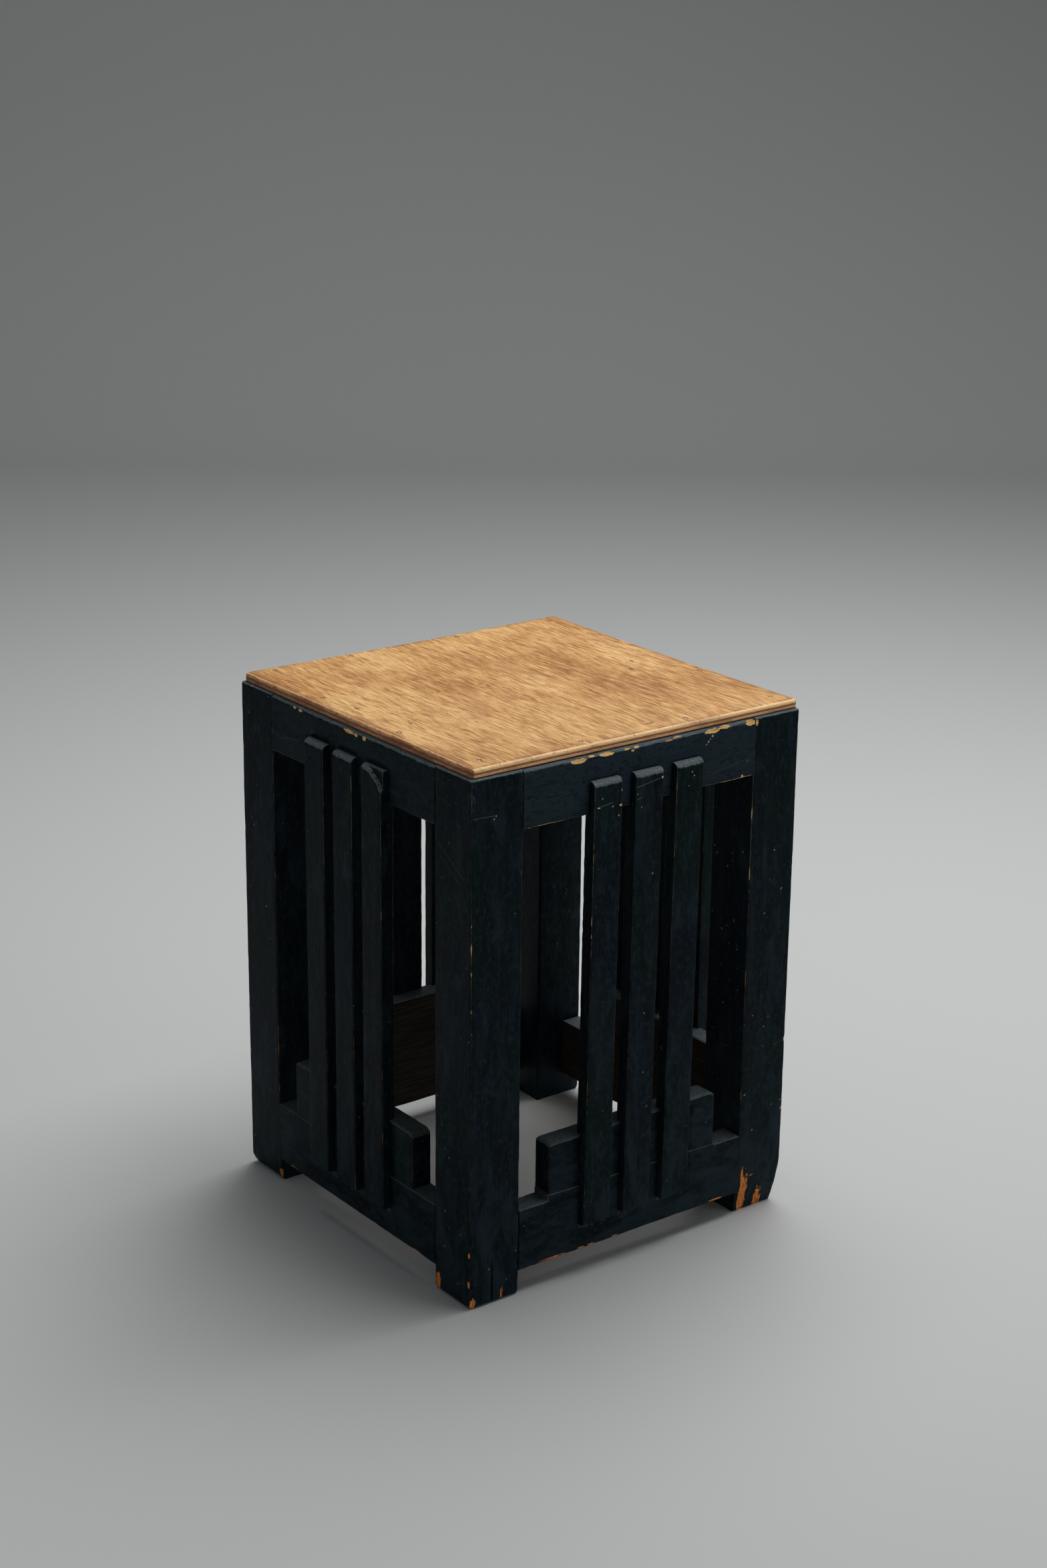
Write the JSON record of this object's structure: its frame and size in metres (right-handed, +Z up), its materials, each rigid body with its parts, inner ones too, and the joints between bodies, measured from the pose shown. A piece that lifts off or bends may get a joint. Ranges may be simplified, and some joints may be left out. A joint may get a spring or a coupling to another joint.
{
  "type": "stool",
  "caption": "Square painted wooden stool with solid posts, railed sides with stepped blocks and upright slats, and a pinned plywood top.",
  "frame": {"origin": "on the floor, under the middle of the stool", "axes": "+Z up, -Y out of the front side, +X to the right seen from the front"},
  "size_m": [0.3324, 0.3324, 0.438],
  "materials": {
    "painted_wood": "blue-black brushed satin paint, worn at the edges",
    "clear_plywood": "satin clear varnish over pale veneer",
    "pin_steel": "plain drawn wire"
  },
  "bodies": {
    "root": {"post_front_left": "painted_wood", "front_top_rail": "painted_wood", "front_bottom_rail": "painted_wood", "front_step_block": "painted_wood", "front_slat_left": "painted_wood", "front_slat_middle": "painted_wood", "front_slat_right": "painted_wood", "post_front_right": "painted_wood", "right_top_rail": "painted_wood", "right_bottom_rail": "painted_wood", "right_step_block": "painted_wood", "right_slat_left": "painted_wood", "right_slat_middle": "painted_wood", "right_slat_right": "painted_wood", "post_back_right": "painted_wood", "back_top_rail": "painted_wood", "back_bottom_rail": "painted_wood", "back_step_block": "painted_wood", "back_slat_left": "painted_wood", "back_slat_middle": "painted_wood", "back_slat_right": "painted_wood", "post_back_left": "painted_wood", "left_top_rail": "painted_wood", "left_bottom_rail": "painted_wood", "left_step_block": "painted_wood", "left_slat_left": "painted_wood", "left_slat_middle": "painted_wood", "left_slat_right": "painted_wood", "top_panel": "clear_plywood", "panel_pin_01": "pin_steel", "panel_pin_02": "pin_steel", "panel_pin_03": "pin_steel", "panel_pin_04": "pin_steel", "panel_pin_05": "pin_steel", "panel_pin_06": "pin_steel", "panel_pin_07": "pin_steel", "panel_pin_08": "pin_steel", "panel_pin_09": "pin_steel", "panel_pin_10": "pin_steel", "panel_pin_11": "pin_steel", "panel_pin_12": "pin_steel"}
  },
  "joints": []
}
